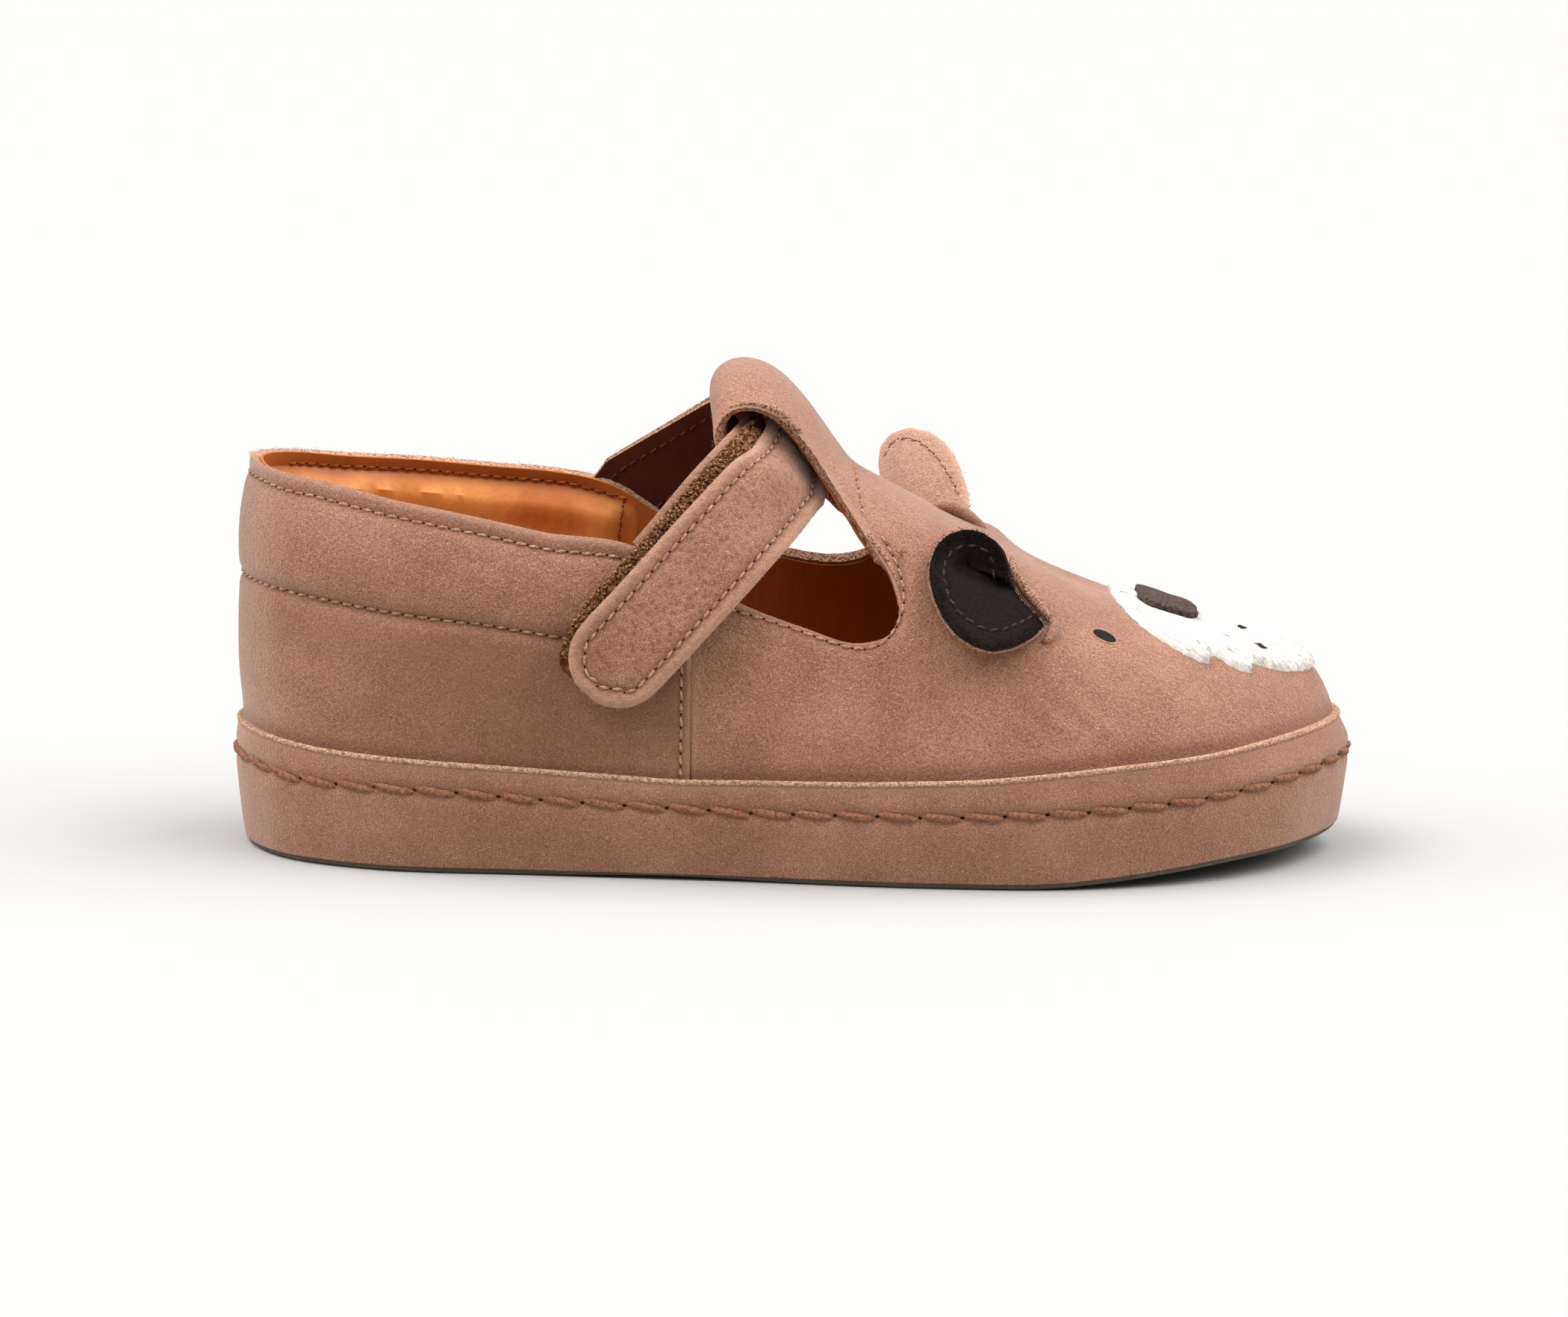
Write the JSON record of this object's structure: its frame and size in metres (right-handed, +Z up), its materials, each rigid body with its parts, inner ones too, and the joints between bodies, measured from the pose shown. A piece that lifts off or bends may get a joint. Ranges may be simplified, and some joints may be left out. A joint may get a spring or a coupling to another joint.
{
  "type": "child's t-bar leather shoe",
  "caption": "Low right shoe for a small child: nubuck upper with T-bar loop, hook-and-loop strap, animal face on the toe and a leather-wrapped sole on thin rubber.",
  "frame": {"origin": "middle of the underside of the shoe's box, on the floor", "axes": "+X from heel to toe, +Y towards the medial side, +Z up"},
  "size_m": [0.1732, 0.066, 0.0757],
  "materials": {
    "nubuck": "matte nubuck, dusty rose-brown",
    "wrap_leather": "matte leather, dusty rose-brown",
    "rubber": "matte olive-grey",
    "lining_leather": "smooth orange-tan lining",
    "hook_and_loop": "brown woven tape with pile",
    "dark_leather": "matte black-brown",
    "hair_hide": "white short hair"
  },
  "bodies": {
    "root": {"sole_wrap": "wrap_leather", "outsole": "rubber", "insole": "lining_leather", "upper": "nubuck", "strap": "nubuck", "fastener_loop_tape": "hook_and_loop", "fastener_hook_tape": "hook_and_loop", "ear_lateral": "nubuck", "ear_lateral_lining": "dark_leather", "ear_medial": "nubuck", "ear_medial_lining": "dark_leather", "muzzle": "hair_hide", "nose": "dark_leather"}
  },
  "joints": []
}
